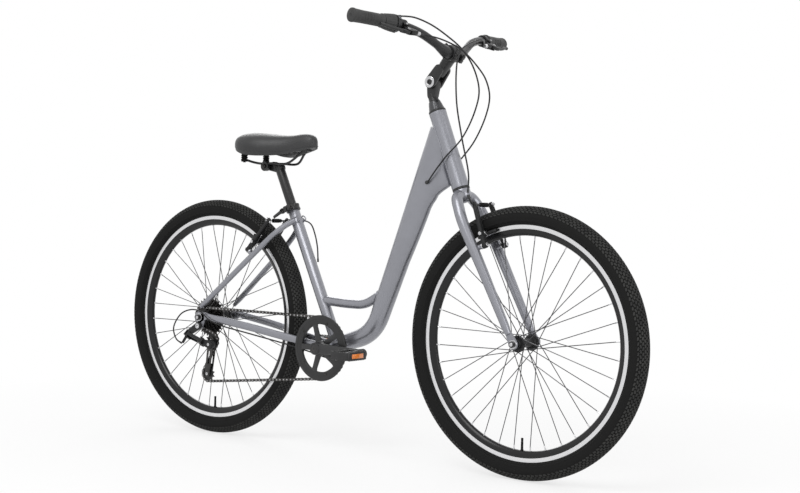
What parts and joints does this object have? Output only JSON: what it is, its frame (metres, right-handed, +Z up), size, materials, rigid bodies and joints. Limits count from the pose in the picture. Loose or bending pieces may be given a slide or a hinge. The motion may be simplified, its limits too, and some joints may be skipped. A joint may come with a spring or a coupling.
{
  "type": "step-through bicycle",
  "caption": "Step-through comfort bicycle with a low curved frame, swept-up handlebar, wide saddle, spoked wheels, rim brakes, guarded chainring and a rear derailleur.",
  "frame": {"origin": "on the ground under the middle of the wheelbase, in the plane of the wheels", "axes": "+X forward, +Y to the rider's left, +Z up; the chain is on the -Y side"},
  "size_m": [1.764, 0.6848, 1.1639],
  "materials": {
    "paint": "metallic silver-grey lacquer with a faint violet tint",
    "black_metal": "satin black",
    "vinyl": "matt black vinyl with a fine grain",
    "rubber": "matt black, ribbed",
    "tyre": "black with moulded tread",
    "rim": "machined brake track, black below",
    "steel": "bright",
    "lever_alloy": "dark grey",
    "dark_steel": "dark grey",
    "dark_plastic": "dark grey, matt",
    "cable_housing": "black"
  },
  "bodies": {
    "frame": {"head_tube": "paint", "down_tube": "paint", "cross_tube": "paint", "seat_tube": "paint", "bottom_bracket_shell": "paint", "chainstay_right": "paint", "chainstay_left": "paint", "seatstay_right": "paint", "seatstay_left": "paint", "seat_collar": "black_metal", "rear_axle": "steel", "chain": "dark_steel", "rear_brake_cable_rear": "cable_housing", "shift_cable_rear": "cable_housing"},
    "steering": {"fork": "paint", "headset_cone": "dark_steel", "stem_base": "black_metal", "stem_pivot_bolt": "steel", "front_axle": "steel", "front_brake_cable": "cable_housing", "rear_brake_cable_front": "cable_housing", "shift_cable_front": "cable_housing"},
    "bar": {"stem_arm": "black_metal", "stem_faceplate": "black_metal", "handlebar": "black_metal", "grip_right": "rubber", "grip_left": "rubber", "brake_perch_right": "black_metal", "brake_perch_left": "black_metal", "shifter_housing": "dark_plastic"},
    "twist_grip": {"twist_grip": "rubber"},
    "brake_lever_left": {"brake_lever_left": "lever_alloy"},
    "brake_lever_right": {"brake_lever_right": "lever_alloy"},
    "front_wheel": {"front_tyre": "tyre", "front_rim": "rim", "front_hub": "black_metal"},
    "rear_wheel": {"rear_tyre": "tyre", "rear_rim": "rim", "rear_hub": "black_metal"},
    "front_brake_right": {"front_brake_arm_right": "black_metal"},
    "front_brake_left": {"front_brake_arm_left": "black_metal"},
    "rear_brake_left": {"rear_brake_arm_left": "black_metal"},
    "rear_brake_right": {"rear_brake_arm_right": "black_metal"},
    "crankset": {"crank_right": "dark_steel", "chainring": "dark_plastic", "crank_left": "dark_steel"},
    "freewheel": {"freewheel": "steel"},
    "pedal_right": {"pedal_right": "dark_plastic"},
    "pedal_left": {"pedal_left": "dark_plastic"},
    "knuckle_b": {"derailleur_knuckle_b": "dark_steel"},
    "link_outer": {"derailleur_link_outer": "dark_steel"},
    "link_inner": {"derailleur_link_inner": "dark_steel"},
    "knuckle_p": {"derailleur_knuckle_p": "dark_steel"},
    "cage": {"derailleur_cage": "dark_steel"},
    "jockey_upper": {"jockey_upper": "dark_plastic"},
    "jockey_lower": {"jockey_lower": "dark_plastic"},
    "seat_lever": {"seat_lever": "black_metal"},
    "seatpost": {"seatpost": "black_metal"},
    "saddle": {"saddle_base": "black_metal", "saddle": "vinyl"}
  },
  "joints": [
    {"name": "steering", "type": "hinge", "parent": "frame", "child": "steering", "pos_m": [0.49435, 0, 0.32777], "axis": [-0.3746, 0, 0.9272], "range_deg": [-60, 60], "deforming": ["rear_brake_cable_front", "shift_cable_front"]},
    {"name": "stem_tilt", "type": "hinge", "parent": "steering", "child": "bar", "pos_m": [0.2374, 0, 1.00913], "axis": [0, 1, 0], "range_deg": [-35, 20], "deforming": ["front_brake_cable", "rear_brake_cable_front", "shift_cable_front"]},
    {"name": "twist_shift", "type": "hinge", "parent": "bar", "child": "twist_grip", "pos_m": [0.25196, -0.225, 1.13997], "axis": [-0.2275, -0.9716, 0.0649], "range_deg": [-45, 75]},
    {"name": "front_brake_pull", "type": "hinge", "parent": "bar", "child": "brake_lever_left", "pos_m": [0.28732, 0.20044, 1.1199], "axis": [0.5247, 0.0266, 0.8509], "range_deg": [0, 8], "stiffness_Nm_per_rad": 1.5, "springref_deg": -5.73},
    {"name": "rear_brake_pull", "type": "hinge", "parent": "bar", "child": "brake_lever_right", "pos_m": [0.28953, -0.18922, 1.11878], "axis": [-0.528, 0.0102, -0.8492], "range_deg": [0, 8], "stiffness_Nm_per_rad": 1.5, "springref_deg": -5.73},
    {"name": "front_wheel_spin", "type": "hinge", "parent": "steering", "child": "front_wheel", "pos_m": [0.537, 0, 0.345], "axis": [0, 1, 0], "continuous": true},
    {"name": "rear_wheel_spin", "type": "hinge", "parent": "frame", "child": "rear_wheel", "pos_m": [-0.537, 0, 0.345], "axis": [0, 1, 0], "continuous": true},
    {"name": "front_arm_right_swing", "type": "hinge", "parent": "steering", "child": "front_brake_right", "pos_m": [0.44098, -0.046, 0.58877], "axis": [-0.9304, 0, -0.3665], "range_deg": [0, 3.2], "stiffness_Nm_per_rad": 2, "springref_deg": -5.73, "deforming": ["front_brake_cable"]},
    {"name": "front_arm_left_swing", "type": "hinge", "parent": "steering", "child": "front_brake_left", "pos_m": [0.44098, 0.046, 0.58877], "axis": [0.9304, 0, 0.3665], "range_deg": [0, 3.2], "stiffness_Nm_per_rad": 2, "springref_deg": -5.73},
    {"name": "rear_arm_left_swing", "type": "hinge", "parent": "frame", "child": "rear_brake_left", "pos_m": [-0.37212, 0.046, 0.54861], "axis": [0.7771, 0, -0.6293], "range_deg": [0, 3.2], "stiffness_Nm_per_rad": 2, "springref_deg": -5.73, "deforming": ["rear_brake_cable_rear"]},
    {"name": "rear_arm_right_swing", "type": "hinge", "parent": "frame", "child": "rear_brake_right", "pos_m": [-0.37212, -0.046, 0.54861], "axis": [-0.7771, 0, 0.6293], "range_deg": [0, 3.2], "stiffness_Nm_per_rad": 2, "springref_deg": -5.73},
    {"name": "crank_spin", "type": "hinge", "parent": "frame", "child": "crankset", "pos_m": [-0.09176, 0, 0.287], "axis": [0, 1, 0], "continuous": true, "deforming": ["chain"]},
    {"name": "freewheel_spin", "type": "hinge", "parent": "frame", "child": "freewheel", "pos_m": [-0.537, 0, 0.345], "axis": [0, 1, 0], "continuous": true, "deforming": ["chain"]},
    {"name": "pedal_right_spin", "type": "hinge", "parent": "crankset", "child": "pedal_right", "pos_m": [0.07824, -0.13, 0.287], "axis": [0, 1, 0], "continuous": true},
    {"name": "pedal_left_spin", "type": "hinge", "parent": "crankset", "child": "pedal_left", "pos_m": [-0.26176, 0.13, 0.287], "axis": [0, 1, 0], "continuous": true},
    {"name": "derailleur_hang", "type": "hinge", "parent": "frame", "child": "knuckle_b", "pos_m": [-0.534, -0.08, 0.32], "axis": [0, 1, 0], "range_deg": [-5, 5], "stiffness_Nm_per_rad": 8, "deforming": ["chain", "shift_cable_rear"]},
    {"name": "outer_link_swing", "type": "hinge", "parent": "knuckle_b", "child": "link_outer", "pos_m": [-0.57165, -0.08391, 0.29542], "axis": [0.2304, 0.6157, 0.7536], "range_deg": [0, 42], "stiffness_Nm_per_rad": 1, "springref_deg": -11.46, "deforming": ["chain"]},
    {"name": "inner_link_swing", "type": "hinge", "parent": "knuckle_b", "child": "link_inner", "pos_m": [-0.57435, -0.07209, 0.28658], "axis": [0.2304, 0.6157, 0.7536], "range_deg": [0, 42]},
    {"name": "knuckle_p_swing", "type": "hinge", "parent": "link_outer", "child": "knuckle_p", "pos_m": [-0.52001, -0.08391, 0.27963], "axis": [0.2304, 0.6157, 0.7536], "range_deg": [-42, 0], "deforming": ["chain"]},
    {"name": "cage_turn", "type": "hinge", "parent": "knuckle_p", "child": "cage", "pos_m": [-0.488, -0.07, 0.269], "axis": [0, 1, 0], "range_deg": [-15, 15], "stiffness_Nm_per_rad": 1, "deforming": ["chain"]},
    {"name": "upper_pulley_spin", "type": "hinge", "parent": "cage", "child": "jockey_upper", "pos_m": [-0.497, -0.058, 0.279], "axis": [0, 1, 0], "continuous": true, "deforming": ["chain"]},
    {"name": "lower_pulley_spin", "type": "hinge", "parent": "cage", "child": "jockey_lower", "pos_m": [-0.5093, -0.058, 0.1807], "axis": [0, 1, 0], "continuous": true, "deforming": ["chain"]},
    {"name": "seat_lever_open", "type": "hinge", "parent": "frame", "child": "seat_lever", "pos_m": [-0.26381, -0.024, 0.66176], "axis": [-0.4226, 0, 0.9063], "range_deg": [0, 110]},
    {"name": "seatpost_slide", "type": "slide", "parent": "frame", "child": "seatpost", "axis": [-0.4226, 0, 0.9063], "range_m": [-0.055, 0.04]},
    {"name": "saddle_tilt", "type": "hinge", "parent": "seatpost", "child": "saddle", "pos_m": [-0.33643, 0, 0.789], "axis": [0, 1, 0], "range_deg": [-10, 10]}
  ],
  "couplings": [
    {"joint": "freewheel_spin", "follows": "crank_spin", "ratio": 3},
    {"joint": "upper_pulley_spin", "follows": "crank_spin", "ratio": -3.8182},
    {"joint": "lower_pulley_spin", "follows": "crank_spin", "ratio": 3.8182},
    {"joint": "front_arm_right_swing", "follows": "front_brake_pull", "ratio": 0.4},
    {"joint": "front_arm_left_swing", "follows": "front_brake_pull", "ratio": 0.4},
    {"joint": "rear_arm_right_swing", "follows": "rear_brake_pull", "ratio": 0.4},
    {"joint": "rear_arm_left_swing", "follows": "rear_brake_pull", "ratio": 0.4},
    {"joint": "inner_link_swing", "follows": "outer_link_swing", "ratio": 1},
    {"joint": "knuckle_p_swing", "follows": "outer_link_swing", "ratio": -1}
  ]
}
